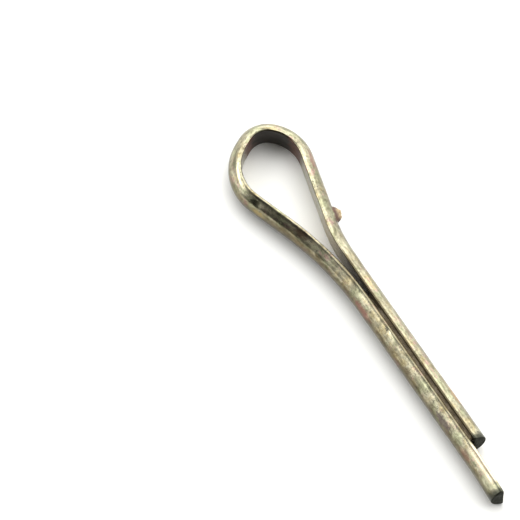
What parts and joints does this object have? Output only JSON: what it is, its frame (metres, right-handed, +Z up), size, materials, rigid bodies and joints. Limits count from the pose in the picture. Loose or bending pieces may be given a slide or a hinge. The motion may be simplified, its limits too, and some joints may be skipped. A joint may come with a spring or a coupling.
{
  "type": "cotter pin",
  "caption": "Split pin of folded half-round steel wire: an open eye, two closed legs of unequal length that are bent apart behind a hole to lock a shaft or nut.",
  "frame": {"origin": "on the closed shank's axis, where the two legs start to run parallel beyond the eye's neck", "axes": "+X along the legs towards their tips, +Y towards the short leg, +Z up, out of the plane of the fold; the pin lies on its side on the narrow edges of the wire, with the floor at Z = -1.44 mm"},
  "size_m": [0.0463, 0.0088, 0.0028],
  "materials": {
    "steel_wire": "dull zinc plate, drawn along the wire, tarnished, with bare dark sheared ends and a rusty burr at the neck"
  },
  "bodies": {
    "root": {"cotter_pin": "steel_wire"}
  },
  "joints": []
}
